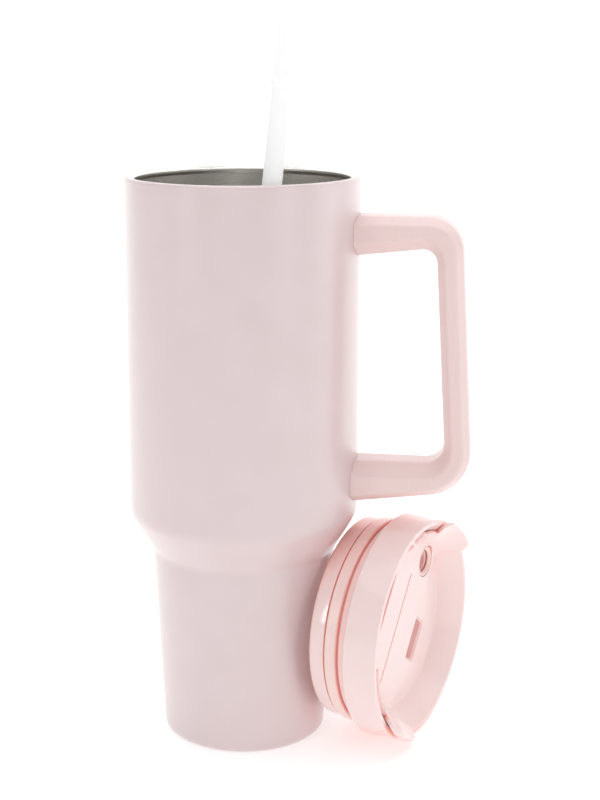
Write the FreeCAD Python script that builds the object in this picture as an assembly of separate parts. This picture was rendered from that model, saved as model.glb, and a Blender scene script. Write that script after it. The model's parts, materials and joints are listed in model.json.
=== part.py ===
import FreeCAD, Part
import math
import os

# Insulated tumbler with a side handle, its lid taken off and stood on edge beside it, and a straw
# left leaning in the open cup. Millimetres. The origin is the centre of the base on the table, +Z is
# up and the handle reaches along +X.

Vector = FreeCAD.Vector

# Cup, outside
CUP_HEIGHT = 249.25
CUP_RADIUS = 50.17
SHOULDER_TOP = 102.2
SHOULDER_BOTTOM = 85.2
WAIST_RADIUS = 40.3
BASE_RADIUS = 36.2
SHELL_WALL = 0.6
RIM_THICKNESS = 1.65
RIM_OUTER_FILLET = 1.6
RIM_INNER_FILLET = 1.0
SHOULDER_FILLET = 11.5
WAIST_FILLET = 8.4
BASE_FILLET = 3.0

# Cup, inside
MOUTH_RADIUS = 46.0
NECK_HEIGHT = 3.0
LINER_RADIUS = 47.0
LINER_WAIST_RADIUS = 36.9
LINER_BASE_RADIUS = 33.2
LINER_FLOOR = 6.5
LINER_WALL = 0.5
LINER_SHOULDER_LIFT = 1.4
LINER_BASE_FILLET = 8.0

# Bottom of the vacuum jacket
BASE_PLATE_RADIUS = 31.0
BASE_PLATE_THICKNESS = 0.8
VACUUM_BOTTOM_Z = 2.0
VACUUM_BOTTOM_THICKNESS = 0.6
PUMP_HOLE_RADIUS = 1.0
SEAL_BEAD_RADIUS = 2.4
SEAL_BEAD_HEIGHT = 0.7
GETTER_RADIUS = 5.0
GETTER_HEIGHT = 2.0
GETTER_OFFSET = 15.0

# Handle: a flat-sided loop with wide chamfers
HANDLE_HALF_WIDTH = 12.5
HANDLE_FLAT_HALF_WIDTH = 6.5
HANDLE_TOP = 233.4
GRIP_OUTER_AT_TOP = 93.16
GRIP_OUTER_AT_BOTTOM = 100.2
HANDLE_BOTTOM_AT_GRIP = 115.8
HANDLE_BOTTOM_AT_ROOT = 108.0
LOWER_ARM_TOP = 127.7
GRIP_INNER_AT_BOTTOM = 88.5
GRIP_INNER_AT_TOP = 82.7
UPPER_ARM_BOTTOM_AT_GRIP = 220.3
UPPER_ARM_BOTTOM_AT_ROOT = 215.5
HANDLE_ROOT_X = 40.0
HANDLE_GAP = 0.3
OUTER_TOP_RADIUS = 15.0
OUTER_BOTTOM_RADIUS = 19.0
INNER_TOP_RADIUS = 6.0
INNER_BOTTOM_RADIUS = 8.5
TOP_CHAMFER = 3.3
GRIP_OUTER_CHAMFER = 3.2
BOTTOM_CHAMFER = 3.6
ARM_INNER_CHAMFER = 5.0
GRIP_INNER_CHAMFER = 3.0

# Inside the handle
STRIP_HALF_WIDTH = 5.5
STRIP_THICKNESS = 1.5
STRIP_START_X = 54.0
CHANNEL_DEPTH = 3.6
BRACKET_END_X = 66.0
BRACKET_HALF_WIDTH = 6.0
BRACKET_HALF_HEIGHT = 3.5
BRACKET_WALL = 2.0
UPPER_BRACKET_Z = 226.0
LOWER_BRACKET_Z = 119.5
SCREW_X = 59.5
SCREW_RADIUS = 1.6
SCREW_HEAD_RADIUS = 3.0
SCREW_HEAD_HEIGHT = 1.9

# Lid base, in the lid's own frame: z = 0 is the plane that sits on the cup's rim
COLLAR_RADIUS = 50.16
COLLAR_TOP_RADIUS = 49.0
COLLAR_HEIGHT = 14.7
COLLAR_LIP = 2.2
COLLAR_FILLET = 0.6
BOWL_FLOOR = 4.9
BOWL_FLOOR_RADIUS = 37.0
BOWL_FILLET = 2.0
BOWL_THICKNESS = 2.0
PLUG_RADIUS = 45.4
PLUG_WALL = 2.8
PLUG_LENGTH = 18.7
PLUG_FILLET = 1.5
GROOVE_DEPTH = 1.2
GROOVE_LOW = -11.4
GROOVE_HIGH = -4.3
GASKET_RADIUS = 46.3
GASKET_LOW = -10.7
GASKET_HIGH = -5.2
SLOT_LENGTH = 18.0
SLOT_SHIFT = 2.2
SLOT_NEAR = 12.8
SLOT_FAR = 21.6
SLOT_CORNER = 1.5
PORT_RADIUS = 6.0
PORT_BORE = 4.3
PORT_FLANGE_RADIUS = 7.2
PORT_FLANGE_THICKNESS = 1.0

# Rotating cover, straw hole on its +X side
COVER_BOTTOM = 5.4
COVER_TOP = 7.0
COVER_RADIUS = 36.2
BAR_HALF_WIDTH = 8.5
COVER_WIDE_SIDE = 27.0
COVER_WALL_GAP = 0.4
RAMP_THICKNESS = 1.8
RAMP_START = 30.0
RAMP_TOP = 14.2
RAMP_UNDER_SHIFT = BOWL_FLOOR_RADIUS - BOWL_FLOOR - COVER_WALL_GAP * math.sqrt(2)
RAMP_FACE_SHIFT = RAMP_UNDER_SHIFT - RAMP_THICKNESS * math.sqrt(2)
WIDE_SIDE_ANGLE = 60.0
EAR_HALF_ANGLE = 17.5
EAR_TOP = 19.7
EAR_TIP_RADIUS = 49.0
EAR_THICKNESS = 2.1
EAR_CORNER = 3.0
STRAW_HOLE_OFFSET = 30.4
GROMMET_BORE = 5.0
GROMMET_NECK_RADIUS = 6.4
GROMMET_FLANGE_RADIUS = 7.6
GROMMET_SEAT_RADIUS = 8.1
GROMMET_FLANGE_BOTTOM = 6.2
GROMMET_TOP = 7.1
GROMMET_CHAMFER = 0.8
PAD_OVERLAP = 1.2
PAD_BOTTOM = 5.1
PAD_TOP = 6.0
HUB_RADIUS = 4.0
HUB_CLEARANCE = 0.1
HUB_BOTTOM = 2.7
O_RING_POCKET_RADIUS = 6.4
O_RING_POCKET_BOTTOM = 3.8
O_RING_RADIUS = 5.2
O_RING_SECTION = 0.7
WASHER_RADIUS = 6.5
WASHER_THICKNESS = 1.1
PIVOT_SCREW_RADIUS = 1.5
PIVOT_SCREW_HEAD_RADIUS = 3.0
PIVOT_SCREW_HEAD_HEIGHT = 1.8
PIVOT_SCREW_TOP = 6.2

# Where the lid stands, and how the cover is turned in it
LID_RIM_CENTRE = Vector(80.8, -2.0, 49.93)
LID_AZIMUTH = -20.83
LID_ELEVATION = -1.11
COVER_TURN = 55.5

# Straw
STRAW_RADIUS = 4.0
STRAW_BORE = 3.2
STRAW_LENGTH = 314.0
STRAW_FOOT = Vector(-8.2, -21.8, 7.4)
STRAW_AT_RIM = Vector(18.4, -37.0, 249.0)
STOPPER_FROM_TOP = 29.0
STOPPER_RADIUS = 5.5
STOPPER_HALF_HEIGHT = 2.5
STOPPER_EDGE_HALF_HEIGHT = 0.6

BIG = 400.0


def rz(r, z):
    """A point of a turned part's half section."""
    return Vector(r, 0, z)


def rounded_wire(corners, radii, place=rz):
    """Closed wire through the corners, with an arc of its own radius at each (0 stays sharp)."""
    points = [place(*corner) for corner in corners]
    cuts = []
    for i, corner in enumerate(points):
        back = (points[i - 1] - corner).normalize()
        ahead = (points[(i + 1) % len(points)] - corner).normalize()
        half_angle = back.getAngle(ahead) / 2
        if radii[i] == 0:
            cuts.append((corner, None, corner))
            continue
        reach = radii[i] / math.tan(half_angle)
        bisector = (back + ahead).normalize()
        middle = corner + bisector * (radii[i] / math.sin(half_angle) - radii[i])
        cuts.append((corner + back * reach, middle, corner + ahead * reach))
    edges = []
    for i, (start, middle, end) in enumerate(cuts):
        if middle is not None:
            edges.append(Part.Arc(start, middle, end).toShape())
        following = cuts[(i + 1) % len(cuts)][0]
        edges.append(Part.LineSegment(end, following).toShape())
    return Part.Wire(edges)


def turned(corners, radii=None, angle=360.0):
    """Solid of revolution about Z from a closed half section."""
    wire = rounded_wire(corners, radii or [0] * len(corners))
    return Part.Face(wire).revolve(Vector(0, 0, 0), Vector(0, 0, 1), angle)


def inset(corners, distances):
    """Corners of a counter-clockwise outline moved inward, one distance for the edge after each corner."""
    lines = []
    for i, (x, y) in enumerate(corners):
        next_x, next_y = corners[(i + 1) % len(corners)]
        length = math.hypot(next_x - x, next_y - y)
        normal = ((y - next_y) / length, (next_x - x) / length)
        lines.append((normal, normal[0] * x + normal[1] * y + distances[i]))
    moved = []
    for i in range(len(corners)):
        (a, b), c = lines[i - 1]
        (d, e), f = lines[i]
        det = a * e - b * d
        moved.append(((c * e - b * f) / det, (a * f - c * d) / det))
    return moved


def cylinder(radius, low, high, x=0.0, y=0.0):
    return Part.makeCylinder(radius, high - low, Vector(x, y, low))


def box(low, high):
    size = [b - a for a, b in zip(low, high)]
    return Part.makeBox(*size, Vector(*low))


# Cup

def shell_section(inward):
    """Half section of the cup's outer form, moved inward by a wall, with its corner radii."""
    corners = [(0, 0), (BASE_RADIUS, 0), (WAIST_RADIUS, SHOULDER_BOTTOM)]
    corners += [(CUP_RADIUS, SHOULDER_TOP), (CUP_RADIUS, CUP_HEIGHT), (0, CUP_HEIGHT)]
    top = RIM_THICKNESS if inward else 0.0
    moved = inset(corners, [inward] * 4 + [top, 0.0])
    radii = [0, BASE_FILLET - inward, WAIST_FILLET + inward, SHOULDER_FILLET - inward]
    radii += [RIM_OUTER_FILLET - inward, 0]
    return moved, radii


def jacket_space():
    return turned(*shell_section(SHELL_WALL))


def outer_shell():
    shape = turned(*shell_section(0.0)).cut(jacket_space())
    shape = shape.cut(cylinder(MOUTH_RADIUS, SHOULDER_TOP, CUP_HEIGHT + 1))
    shape = shape.cut(cylinder(BASE_PLATE_RADIUS, -1, SHELL_WALL + 1))
    lip = [
        edge for edge in shape.Edges
        if abs(edge.BoundBox.ZMin - CUP_HEIGHT) < 0.01 and edge.BoundBox.XMax < MOUTH_RADIUS + 0.01
    ]
    return shape.makeFillet(RIM_INNER_FILLET, lip)


def liner_section():
    top = CUP_HEIGHT - RIM_THICKNESS
    neck = top - NECK_HEIGHT
    step = LINER_RADIUS - MOUTH_RADIUS
    corners = [
        (0, LINER_FLOOR),
        (LINER_BASE_RADIUS, LINER_FLOOR),
        (LINER_WAIST_RADIUS, SHOULDER_BOTTOM + LINER_SHOULDER_LIFT),
        (LINER_RADIUS, SHOULDER_TOP + LINER_SHOULDER_LIFT),
        (LINER_RADIUS, neck),
        (MOUTH_RADIUS, neck + step),
        (MOUTH_RADIUS, CUP_HEIGHT + 1),
        (0, CUP_HEIGHT + 1),
    ]
    return corners, [0, LINER_BASE_FILLET, WAIST_FILLET, SHOULDER_FILLET, 1.0, 1.0, 0, 0]


def inner_liner():
    corners, radii = liner_section()
    hollow = turned(corners, radii)
    grown = inset(corners, [-LINER_WALL] * 7 + [0.0])
    grown_radii = [0, LINER_BASE_FILLET + LINER_WALL, WAIST_FILLET - LINER_WALL]
    grown_radii += [SHOULDER_FILLET + LINER_WALL, 1.0 + LINER_WALL, 1.0 - LINER_WALL, 0, 0]
    shape = turned(grown, grown_radii).cut(hollow)
    return shape.cut(cylinder(CUP_RADIUS, CUP_HEIGHT - RIM_THICKNESS, CUP_HEIGHT + 5))


def vacuum_bottom():
    disc = cylinder(CUP_RADIUS, VACUUM_BOTTOM_Z, VACUUM_BOTTOM_Z + VACUUM_BOTTOM_THICKNESS)
    disc = disc.common(jacket_space())
    return disc.cut(cylinder(PUMP_HOLE_RADIUS, 0, LINER_FLOOR))


def seal_bead():
    low = VACUUM_BOTTOM_Z - SEAL_BEAD_HEIGHT
    return turned([(0, low), (SEAL_BEAD_RADIUS, VACUUM_BOTTOM_Z), (0, VACUUM_BOTTOM_Z)])


def getter():
    low = VACUUM_BOTTOM_Z + VACUUM_BOTTOM_THICKNESS
    return cylinder(GETTER_RADIUS, low, low + GETTER_HEIGHT, x=GETTER_OFFSET)


def base_plate():
    return cylinder(BASE_PLATE_RADIUS, 0, BASE_PLATE_THICKNESS)


# Handle

def handle_wire(level, chamfered):
    """Outline of the loop at one distance from its middle plane."""
    corners = [
        (HANDLE_ROOT_X, HANDLE_BOTTOM_AT_ROOT),
        (GRIP_OUTER_AT_BOTTOM, HANDLE_BOTTOM_AT_GRIP),
        (GRIP_OUTER_AT_TOP, HANDLE_TOP),
        (HANDLE_ROOT_X, HANDLE_TOP),
        (HANDLE_ROOT_X, UPPER_ARM_BOTTOM_AT_ROOT),
        (GRIP_INNER_AT_TOP, UPPER_ARM_BOTTOM_AT_GRIP),
        (GRIP_INNER_AT_BOTTOM, LOWER_ARM_TOP),
        (HANDLE_ROOT_X, LOWER_ARM_TOP),
    ]
    radii = [0, OUTER_BOTTOM_RADIUS, OUTER_TOP_RADIUS, 0, 0, INNER_TOP_RADIUS, INNER_BOTTOM_RADIUS, 0]
    if chamfered:
        widths = [BOTTOM_CHAMFER, GRIP_OUTER_CHAMFER, TOP_CHAMFER, 0]
        widths += [ARM_INNER_CHAMFER, GRIP_INNER_CHAMFER, ARM_INNER_CHAMFER, 0]
        corners = inset(corners, widths)
        radii[1] -= GRIP_OUTER_CHAMFER
        radii[2] -= GRIP_OUTER_CHAMFER
        radii[5] += GRIP_INNER_CHAMFER
        radii[6] += GRIP_INNER_CHAMFER
    return rounded_wire(corners, radii, lambda x, z: Vector(x, level, z))


def handle_body():
    wires = [
        handle_wire(-HANDLE_HALF_WIDTH, True),
        handle_wire(-HANDLE_FLAT_HALF_WIDTH, False),
        handle_wire(HANDLE_FLAT_HALF_WIDTH, False),
        handle_wire(HANDLE_HALF_WIDTH, True),
    ]
    loop = Part.makeLoft(wires, True, True)
    return loop.cut(cylinder(CUP_RADIUS + HANDLE_GAP, 0, CUP_HEIGHT))


def finger_space(grow):
    """The space inside the loop, grown into the handle and cut to the strip's width."""
    corners = [
        (HANDLE_ROOT_X, LOWER_ARM_TOP),
        (GRIP_INNER_AT_BOTTOM, LOWER_ARM_TOP),
        (GRIP_INNER_AT_TOP, UPPER_ARM_BOTTOM_AT_GRIP),
        (HANDLE_ROOT_X, UPPER_ARM_BOTTOM_AT_ROOT),
    ]
    radii = [0, INNER_BOTTOM_RADIUS + grow, INNER_TOP_RADIUS + grow, 0]
    moved = inset(corners, [-grow, -grow, -grow, 0.0])
    wire = rounded_wire(moved, radii, lambda x, z: Vector(x, -STRIP_HALF_WIDTH, z))
    block = Part.Face(wire).extrude(Vector(0, 2 * STRIP_HALF_WIDTH, 0))
    return block.common(box((STRIP_START_X, -BIG, 0), (BIG, BIG, BIG)))


def bracket_block(middle):
    low = (0, -BRACKET_HALF_WIDTH, middle - BRACKET_HALF_HEIGHT)
    high = (BRACKET_END_X, BRACKET_HALF_WIDTH, middle + BRACKET_HALF_HEIGHT)
    return box(low, high).cut(cylinder(CUP_RADIUS, 0, CUP_HEIGHT))


def bracket(middle):
    """Steel box section welded to the shell, one wall drilled for the handle's screw."""
    inner_y = BRACKET_HALF_WIDTH - BRACKET_WALL
    inner_z = BRACKET_HALF_HEIGHT - BRACKET_WALL
    bore = box((0, -inner_y, middle - inner_z), (BIG, inner_y, middle + inner_z))
    return bracket_block(middle).cut(bore).cut(screw_pair())


def handle_screw(seat, direction):
    """Screw at the bottom of the strip's channel, pointing up (1) or down (-1) into its bracket."""
    axis = Vector(0, 0, direction)
    seat_point = Vector(SCREW_X, 0, seat)
    head_point = seat_point - axis * SCREW_HEAD_HEIGHT
    reach = CHANNEL_DEPTH + 0.6
    head = Part.makeCylinder(SCREW_HEAD_RADIUS, SCREW_HEAD_HEIGHT, head_point, axis)
    shank = Part.makeCylinder(SCREW_RADIUS, reach, seat_point, axis)
    return head.fuse(shank).removeSplitter()


def screw_pair():
    run = GRIP_INNER_AT_TOP - HANDLE_ROOT_X
    slope = (UPPER_ARM_BOTTOM_AT_GRIP - UPPER_ARM_BOTTOM_AT_ROOT) / run
    head_edge = SCREW_X + SCREW_HEAD_RADIUS
    upper_seat = UPPER_ARM_BOTTOM_AT_ROOT + slope * (head_edge - HANDLE_ROOT_X) + CHANNEL_DEPTH
    lower_seat = LOWER_ARM_TOP - CHANNEL_DEPTH
    return Part.makeCompound([handle_screw(upper_seat, 1), handle_screw(lower_seat, -1)])


def handle_shell():
    shape = handle_body().cut(finger_space(CHANNEL_DEPTH))
    for middle in (UPPER_BRACKET_Z, LOWER_BRACKET_Z):
        shape = shape.cut(bracket_block(middle))
    return shape.cut(screw_pair())


def handle_inner_cover():
    return finger_space(STRIP_THICKNESS).cut(finger_space(0.0))


# Lid base, around the lid's own Z axis, straw port towards +X and drink slot towards -Y

def lid_bowl():
    bowl_edge = COLLAR_TOP_RADIUS - COLLAR_LIP
    floor_under = BOWL_FLOOR - BOWL_THICKNESS
    wall_run = BOWL_THICKNESS * math.sqrt(2)
    inner_ring = PLUG_RADIUS - PLUG_WALL + GROOVE_DEPTH
    wall_foot = BOWL_FLOOR_RADIUS - BOWL_THICKNESS * math.tan(math.radians(22.5)) + wall_run / 2
    wall_under_top = floor_under + inner_ring - wall_foot
    corners = [
        (HUB_RADIUS + HUB_CLEARANCE, floor_under),
        (wall_foot, floor_under),
        (inner_ring, wall_under_top),
        (inner_ring, 0),
        (COLLAR_RADIUS, 0),
        (COLLAR_TOP_RADIUS, COLLAR_HEIGHT),
        (bowl_edge, COLLAR_HEIGHT),
        (BOWL_FLOOR_RADIUS, BOWL_FLOOR),
        (HUB_RADIUS + HUB_CLEARANCE, BOWL_FLOOR),
    ]
    radii = [0, 0, 0, 0, COLLAR_FILLET, COLLAR_FILLET, COLLAR_FILLET, BOWL_FILLET, 0]
    shape = turned(corners, radii)
    shape = shape.cut(cylinder(PORT_RADIUS, 0, COVER_TOP, x=STRAW_HOLE_OFFSET))
    shape = shape.cut(cylinder(O_RING_POCKET_RADIUS, O_RING_POCKET_BOTTOM, COVER_TOP))
    return shape.cut(slot_block(0.0, 0.0, COVER_TOP, -1))


def slot_block(grow, low, high, side):
    """Rounded bar the size of the drink slot, on the slot's side (-1) or across from it (1)."""
    half = SLOT_LENGTH / 2 + grow
    near = SLOT_NEAR - grow
    far = SLOT_FAR + grow
    start = SLOT_SHIFT - half
    end = SLOT_SHIFT + half
    corners = [(start, near), (end, near), (end, far), (start, far)]
    radii = [SLOT_CORNER + grow] * 4
    wire = rounded_wire(corners, radii, lambda x, y: Vector(side * x, side * y, low))
    return Part.Face(wire).extrude(Vector(0, 0, high - low))


def lid_plug():
    inner = PLUG_RADIUS - PLUG_WALL
    bottom = PLUG_RADIUS - GROOVE_DEPTH
    corners = [
        (inner, -PLUG_LENGTH),
        (PLUG_RADIUS, -PLUG_LENGTH),
        (PLUG_RADIUS, GROOVE_LOW),
        (bottom, GROOVE_LOW),
        (bottom, GROOVE_HIGH),
        (PLUG_RADIUS, GROOVE_HIGH),
        (PLUG_RADIUS, 0),
        (inner, 0),
    ]
    return turned(corners, [0.5, PLUG_FILLET, 0.3, 0, 0, 0.3, 0, 0])


def lid_gasket():
    bottom = PLUG_RADIUS - GROOVE_DEPTH
    corners = [(bottom, GASKET_LOW), (GASKET_RADIUS, GASKET_LOW)]
    corners += [(GASKET_RADIUS, GASKET_HIGH), (bottom, GASKET_HIGH)]
    return turned(corners, [0, 1.0, 1.0, 0])


def straw_port_ring():
    floor_under = BOWL_FLOOR - BOWL_THICKNESS
    corners = [
        (PORT_BORE, floor_under - PORT_FLANGE_THICKNESS),
        (PORT_FLANGE_RADIUS, floor_under - PORT_FLANGE_THICKNESS),
        (PORT_FLANGE_RADIUS, floor_under),
        (PORT_RADIUS, floor_under),
        (PORT_RADIUS, BOWL_FLOOR),
        (PORT_BORE, BOWL_FLOOR),
    ]
    return turned(corners).translated(Vector(STRAW_HOLE_OFFSET, 0, 0))


# Rotating cover

def sector_turned(corners, radii, clockwise, counter):
    """Turned solid kept between two angles, in degrees either side of +X."""
    solid = turned(corners, radii, clockwise + counter)
    return solid.rotated(Vector(0, 0, 0), Vector(0, 0, 1), -clockwise)


def cover_ramp():
    """The plate's end where it climbs the bowl's wall, as wide as the plate."""
    corners = [
        (RAMP_START, COVER_BOTTOM),
        (RAMP_UNDER_SHIFT + COVER_BOTTOM, COVER_BOTTOM),
        (RAMP_UNDER_SHIFT + RAMP_TOP, RAMP_TOP),
        (RAMP_FACE_SHIFT + RAMP_TOP, RAMP_TOP),
        (RAMP_FACE_SHIFT + COVER_TOP, COVER_TOP),
        (RAMP_START, COVER_TOP),
    ]
    radii = [0, 0, 0.5, 0.5, 2.0, 0]
    ramp = sector_turned(corners, radii, EAR_HALF_ANGLE, WIDE_SIDE_ANGLE)
    return ramp.common(box((0, -BIG, 0), (BIG, COVER_WIDE_SIDE, BIG)))


def cover_ear():
    """The finger tab above the rim, centred on +X, with its upper corners rounded off."""
    foot = RAMP_TOP + 1.4
    foot_radius = RAMP_UNDER_SHIFT + RAMP_TOP + 0.3
    corners = [
        (RAMP_START, COVER_BOTTOM),
        (RAMP_UNDER_SHIFT + COVER_BOTTOM, COVER_BOTTOM),
        (foot_radius - 0.3, RAMP_TOP),
        (foot_radius, foot),
        (EAR_TIP_RADIUS, EAR_TOP),
        (EAR_TIP_RADIUS - EAR_THICKNESS, EAR_TOP),
        (foot_radius - EAR_THICKNESS, foot),
        (RAMP_FACE_SHIFT + COVER_TOP, COVER_TOP),
        (RAMP_START, COVER_TOP),
    ]
    radii = [0, 0, 0, 2.0, 0.75, 0.9, 3.0, 2.0, 0]
    sector = sector_turned(corners, radii, EAR_HALF_ANGLE, EAR_HALF_ANGLE)
    half = EAR_TIP_RADIUS * math.sin(math.radians(EAR_HALF_ANGLE)) + 0.1
    outline = [(-half, 0), (half, 0), (half, EAR_TOP), (-half, EAR_TOP)]
    wire = rounded_wire(outline, [0, 0, EAR_CORNER, EAR_CORNER], lambda y, z: Vector(0, y, z))
    return sector.common(Part.Face(wire).extrude(Vector(BIG, 0, 0)))


def cover():
    plate = cylinder(COVER_RADIUS, COVER_BOTTOM, COVER_TOP)
    plate = plate.common(box((-BIG, -BAR_HALF_WIDTH, 0), (BIG, COVER_WIDE_SIDE, BIG)))
    ends = [cover_ramp(), cover_ear()]
    ends += [end.mirror(Vector(0, 0, 0), Vector(1, 0, 0)) for end in ends]
    hub = cylinder(HUB_RADIUS, HUB_BOTTOM, COVER_TOP)
    shape = plate.fuse(ends + [hub]).removeSplitter()
    shape = shape.cut(cylinder(PIVOT_SCREW_RADIUS, 0, PIVOT_SCREW_TOP))
    shape = shape.cut(cylinder(GROMMET_NECK_RADIUS, 0, EAR_TOP, x=STRAW_HOLE_OFFSET))
    seat = cylinder(GROMMET_SEAT_RADIUS, GROMMET_FLANGE_BOTTOM, EAR_TOP, x=STRAW_HOLE_OFFSET)
    shape = shape.cut(seat)
    return shape.cut(slot_block(PAD_OVERLAP, COVER_BOTTOM - 1, PAD_TOP, 1))


def slot_seal_pad():
    return slot_block(PAD_OVERLAP, PAD_BOTTOM, PAD_TOP, 1)


def straw_grommet():
    corners = [
        (GROMMET_BORE, COVER_BOTTOM),
        (GROMMET_NECK_RADIUS, COVER_BOTTOM),
        (GROMMET_NECK_RADIUS, GROMMET_FLANGE_BOTTOM),
        (GROMMET_FLANGE_RADIUS, GROMMET_FLANGE_BOTTOM),
        (GROMMET_FLANGE_RADIUS, GROMMET_TOP),
        (GROMMET_BORE + GROMMET_CHAMFER, GROMMET_TOP),
        (GROMMET_BORE, GROMMET_TOP - GROMMET_CHAMFER),
    ]
    return turned(corners).translated(Vector(STRAW_HOLE_OFFSET, 0, 0))


def pivot_o_ring():
    height = COVER_BOTTOM - O_RING_SECTION
    return Part.makeTorus(O_RING_RADIUS, O_RING_SECTION, Vector(0, 0, height))


def pivot_washer():
    washer = cylinder(WASHER_RADIUS, HUB_BOTTOM - WASHER_THICKNESS, HUB_BOTTOM)
    return washer.cut(cylinder(PIVOT_SCREW_RADIUS, 0, COVER_TOP))


def pivot_screw():
    seat = HUB_BOTTOM - WASHER_THICKNESS
    head = cylinder(PIVOT_SCREW_HEAD_RADIUS, seat - PIVOT_SCREW_HEAD_HEIGHT, seat)
    return head.fuse(cylinder(PIVOT_SCREW_RADIUS, seat, PIVOT_SCREW_TOP)).removeSplitter()


# Straw

def straw():
    middle = STRAW_LENGTH - STOPPER_FROM_TOP
    corners = [
        (STRAW_BORE, 0),
        (STRAW_RADIUS, 0),
        (STRAW_RADIUS, middle - STOPPER_HALF_HEIGHT),
        (STOPPER_RADIUS, middle - STOPPER_EDGE_HALF_HEIGHT),
        (STOPPER_RADIUS, middle + STOPPER_EDGE_HALF_HEIGHT),
        (STRAW_RADIUS, middle + STOPPER_HALF_HEIGHT),
        (STRAW_RADIUS, STRAW_LENGTH),
        (STRAW_BORE, STRAW_LENGTH),
    ]
    shape = turned(corners)
    lean = FreeCAD.Rotation(Vector(0, 0, 1), STRAW_AT_RIM - STRAW_FOOT)
    shape.Placement = FreeCAD.Placement(STRAW_FOOT, lean)
    return shape


def lid_placement():
    """From the lid's own frame, cover turned as it is at rest, to where the lid stands."""
    azimuth = math.radians(LID_AZIMUTH)
    elevation = math.radians(LID_ELEVATION)
    flat = math.cos(elevation)
    normal = Vector(flat * math.cos(azimuth), flat * math.sin(azimuth), math.sin(elevation))
    level = Vector(-math.sin(azimuth), math.cos(azimuth), 0)
    stand = FreeCAD.Rotation(level, normal.cross(level), normal, "ZXY")
    turn = FreeCAD.Rotation(Vector(0, 0, 1), COVER_TURN)
    return FreeCAD.Placement(LID_RIM_CENTRE - normal * COLLAR_HEIGHT, stand.multiply(turn))


CUP_PARTS = {
    "outer_shell": outer_shell,
    "inner_liner": inner_liner,
    "vacuum_bottom": vacuum_bottom,
    "seal_bead": seal_bead,
    "getter": getter,
    "base_plate": base_plate,
    "upper_bracket": lambda: bracket(UPPER_BRACKET_Z),
    "lower_bracket": lambda: bracket(LOWER_BRACKET_Z),
    "handle_shell": handle_shell,
    "handle_inner_cover": handle_inner_cover,
    "handle_screws": screw_pair,
    "straw": straw,
}

LID_PARTS = {
    "lid_bowl": lid_bowl,
    "lid_plug": lid_plug,
    "lid_gasket": lid_gasket,
    "straw_port_ring": straw_port_ring,
    "cover": cover,
    "straw_grommet": straw_grommet,
    "slot_seal_pad": slot_seal_pad,
    "pivot_o_ring": pivot_o_ring,
    "pivot_washer": pivot_washer,
    "pivot_screw": pivot_screw,
}


def main():
    os.makedirs("parts", exist_ok=True)
    placement = lid_placement()
    shapes = {name: make() for name, make in CUP_PARTS.items()}
    for name, make in LID_PARTS.items():
        shapes[name] = make().transformed(placement.Matrix)
    for name, shape in shapes.items():
        shape.exportStep("parts/" + name + ".step")
        print(name, "valid" if shape.isValid() else "NOT VALID", len(shape.Solids), round(shape.Volume))


main()
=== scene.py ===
import json
import math
import bmesh
import bpy
from mathutils import Matrix, Vector


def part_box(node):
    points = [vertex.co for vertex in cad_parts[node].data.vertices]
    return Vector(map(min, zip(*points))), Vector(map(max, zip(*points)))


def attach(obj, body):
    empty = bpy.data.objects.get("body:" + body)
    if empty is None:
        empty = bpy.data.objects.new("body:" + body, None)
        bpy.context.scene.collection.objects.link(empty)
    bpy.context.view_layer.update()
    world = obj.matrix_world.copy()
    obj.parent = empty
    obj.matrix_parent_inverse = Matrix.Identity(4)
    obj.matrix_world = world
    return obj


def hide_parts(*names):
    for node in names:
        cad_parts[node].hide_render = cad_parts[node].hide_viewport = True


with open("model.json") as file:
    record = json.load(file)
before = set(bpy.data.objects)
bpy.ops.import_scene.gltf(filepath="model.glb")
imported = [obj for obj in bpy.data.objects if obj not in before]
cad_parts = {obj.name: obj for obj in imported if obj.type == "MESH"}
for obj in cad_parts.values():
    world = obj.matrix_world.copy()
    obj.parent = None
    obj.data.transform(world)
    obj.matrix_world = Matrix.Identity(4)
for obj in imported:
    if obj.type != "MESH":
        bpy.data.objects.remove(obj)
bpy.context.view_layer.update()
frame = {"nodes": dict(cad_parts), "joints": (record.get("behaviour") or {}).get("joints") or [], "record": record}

# Looks for the insulated tumbler: the cup, its handle, the lid on edge beside it and the straw.
# Lengths below are in millimetres and MM turns them into the frame's metres.
MM = 0.001

# Cup, read from its shell's box
shell_low, shell_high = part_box("outer_shell")
CUP_RADIUS = (shell_high.y - shell_low.y) / 2 / MM
CUP_HEIGHT = shell_high.z / MM
SHOULDER_TOP = 102.2
SHOULDER_BOTTOM = 85.2
WAIST_RADIUS = 40.3
BASE_RADIUS = 36.2
SHELL_WALL = 0.6
PAINT_EDGE_RADIUS = 48.4
MOUTH_RADIUS = 46.0
LINER_RADIUS = 47.0
LINER_WAIST_RADIUS = 36.9
LINER_BASE_RADIUS = 33.2
LINER_FLOOR = 6.5
LINER_WALL = 0.5
NECK_HEIGHT = 3.4
BASE_PLATE_RADIUS = 31.0
BASE_PLATE_THICKNESS = 0.8
BASE_PLATE_GAP = 0.15
PRESSED_RING_RADIUS = 19.0
PRESSED_RING_DEPTH = 0.25
CUP_SEGMENTS = 192

# Handle
HANDLE_HALF_WIDTH = 12.5
HANDLE_FLAT_HALF_WIDTH = 6.5
HANDLE_GAP = 0.05
HANDLE_EDGE_ROUND = 1.1
STRIP_HALF_WIDTH = 5.5
STRIP_START_X = 54.0
STRIP_PROUD = 0.06
STRIP_DEPTH = 1.2

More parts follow.
